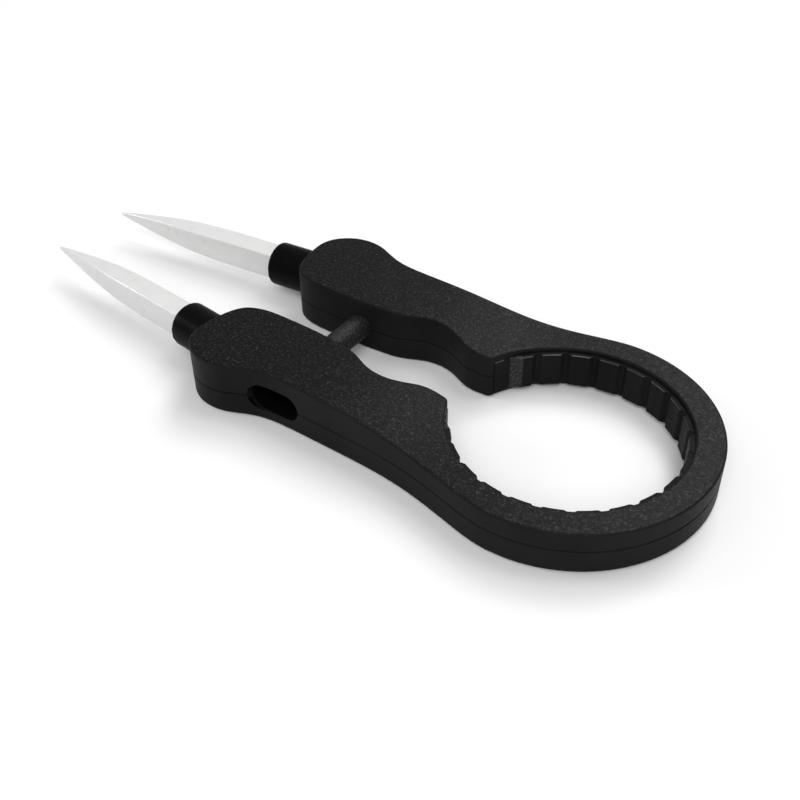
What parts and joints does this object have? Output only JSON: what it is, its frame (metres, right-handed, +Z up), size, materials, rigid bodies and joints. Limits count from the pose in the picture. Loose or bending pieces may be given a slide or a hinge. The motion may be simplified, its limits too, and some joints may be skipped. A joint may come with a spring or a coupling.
{
  "type": "ceramic-tip tweezers",
  "caption": "Tweezers with tapered white ceramic rods in round collars, a black two-shell handle bent into a ring with a notched cap grip, and a guide pin between the arms.",
  "frame": {"origin": "bottom centre of the whole tool's box, on the face it rests on", "axes": "+X from the tips to the back of the ring, +Y towards the arm that holds the guide pin, +Z up out of the resting face"},
  "size_m": [0.1114, 0.04, 0.0084],
  "materials": {
    "shell_black": "fine spark texture on top, satin sides",
    "liner_black": "satin",
    "collar_black": "satin",
    "white_ceramic": "smooth ground zirconia",
    "screw_steel": "dark zinc"
  },
  "bodies": {
    "back": {"upper_shell_ring": "shell_black", "lower_shell_ring": "shell_black", "grip_liner_ring": "liner_black"},
    "arm_far": {"upper_shell_far": "shell_black", "lower_shell_far": "shell_black", "grip_liner_far": "liner_black", "tip_collar_far": "collar_black", "ceramic_tip_far": "white_ceramic", "guide_pin": "collar_black", "case_screws_far": "screw_steel"},
    "arm_near": {"upper_shell_near": "shell_black", "lower_shell_near": "shell_black", "grip_liner_near": "liner_black", "tip_collar_near": "collar_black", "ceramic_tip_near": "white_ceramic", "case_screws_near": "screw_steel"}
  },
  "joints": [
    {"name": "far_arm_flex", "type": "hinge", "parent": "back", "child": "arm_far", "pos_m": [0.04331, 0.01325, 0.0042], "axis": [0, 0, 1], "range_deg": [0, 3.9], "stiffness_Nm_per_rad": 3},
    {"name": "near_arm_flex", "type": "hinge", "parent": "back", "child": "arm_near", "pos_m": [0.04331, -0.01325, 0.0042], "axis": [0, 0, -1], "range_deg": [0, 3.9], "stiffness_Nm_per_rad": 3}
  ],
  "couplings": [
    {"joint": "near_arm_flex", "follows": "far_arm_flex", "ratio": 1}
  ]
}
